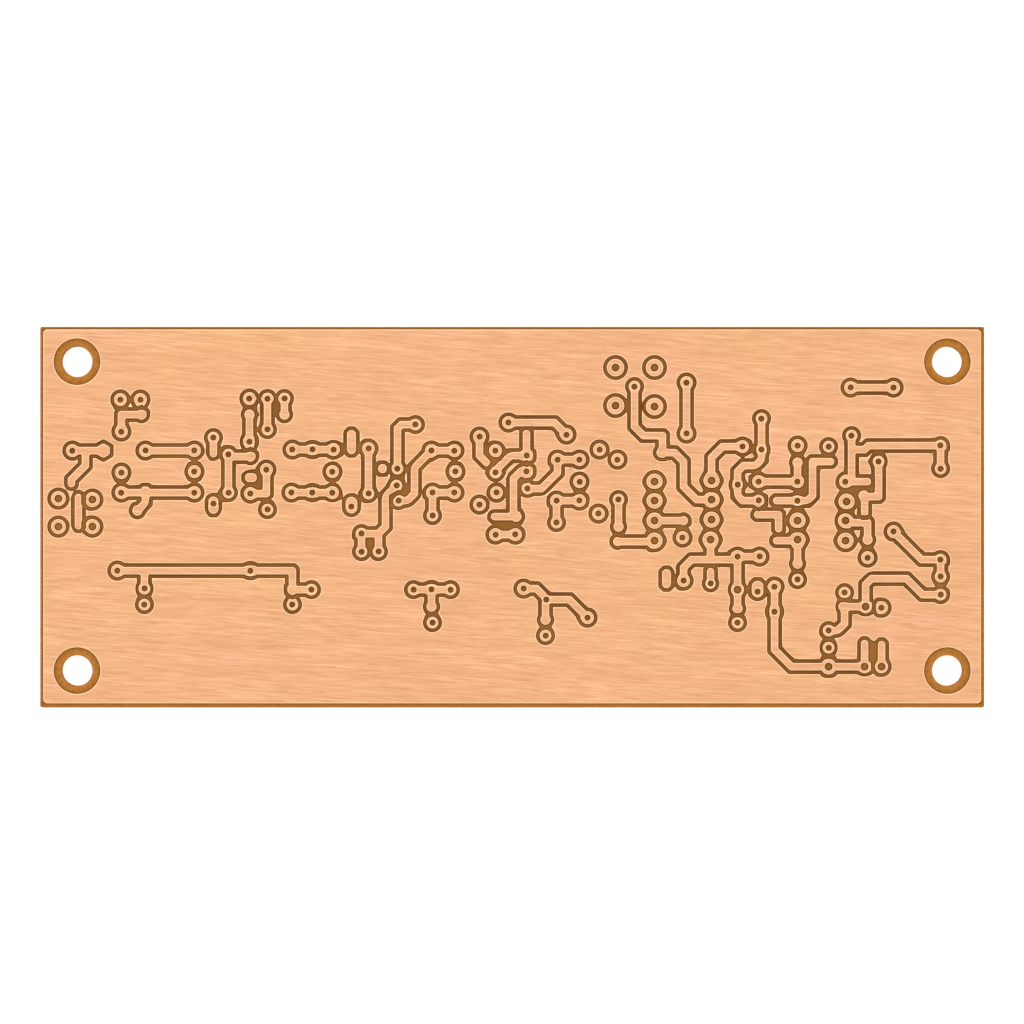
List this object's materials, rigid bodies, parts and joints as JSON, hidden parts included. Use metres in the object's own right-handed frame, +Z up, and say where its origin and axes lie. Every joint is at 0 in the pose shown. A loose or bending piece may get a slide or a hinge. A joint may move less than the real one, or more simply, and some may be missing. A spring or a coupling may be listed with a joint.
{
  "type": "copper clad board",
  "caption": "Flat single-sided copper clad circuit board with milled isolation cuts, pilot-marked pads and corner mounting holes.",
  "frame": {"origin": "middle of the board's underside", "axes": "+X along the board's length, +Y across it, +Z up out of the copper side"},
  "size_m": [0.12, 0.0484, 0.0016],
  "materials": {
    "laminate": "matt",
    "copper_foil": "brushed"
  },
  "bodies": {
    "root": {"laminate": "laminate", "copper_slivers": "copper_foil", "dip_pads": "copper_foil", "dot_pad": "copper_foil", "ground_plane": "copper_foil", "header_pads": "copper_foil", "medium_pads": "copper_foil", "slot_pads": "copper_foil", "small_pads": "copper_foil", "strips": "copper_foil", "terminal_pads": "copper_foil", "track_branches": "copper_foil", "track_cane": "copper_foil", "track_chain_a": "copper_foil", "track_chain_b": "copper_foil", "track_crook": "copper_foil", "track_diagonal": "copper_foil", "track_east_link": "copper_foil", "track_elbow_a": "copper_foil", "track_elbow_b": "copper_foil", "track_elbow_c": "copper_foil", "track_elbow_d": "copper_foil", "track_elbow_e": "copper_foil", "track_elbow_f": "copper_foil", "track_fork": "copper_foil", "track_gull": "copper_foil", "track_hook": "copper_foil", "track_input_tee": "copper_foil", "track_lead_a": "copper_foil", "track_lead_b": "copper_foil", "track_lead_c": "copper_foil", "track_long_branch": "copper_foil", "track_long_bus": "copper_foil", "track_long_crook": "copper_foil", "track_pair": "copper_foil", "track_post_a": "copper_foil", "track_post_b": "copper_foil", "track_post_c": "copper_foil", "track_post_d": "copper_foil", "track_post_e": "copper_foil", "track_post_f": "copper_foil", "track_post_g": "copper_foil", "track_post_h": "copper_foil", "track_rail": "copper_foil", "track_ramp": "copper_foil", "track_serpent": "copper_foil", "track_slash": "copper_foil", "track_stairs": "copper_foil", "track_step": "copper_foil", "track_switchback": "copper_foil", "track_tee_a": "copper_foil", "track_tee_b": "copper_foil", "track_tee_c": "copper_foil", "track_west_corner": "copper_foil", "track_west_link": "copper_foil", "track_zigzag_a": "copper_foil", "track_zigzag_b": "copper_foil", "track_zigzag_c": "copper_foil", "track_zigzag_d": "copper_foil"}
  },
  "joints": []
}
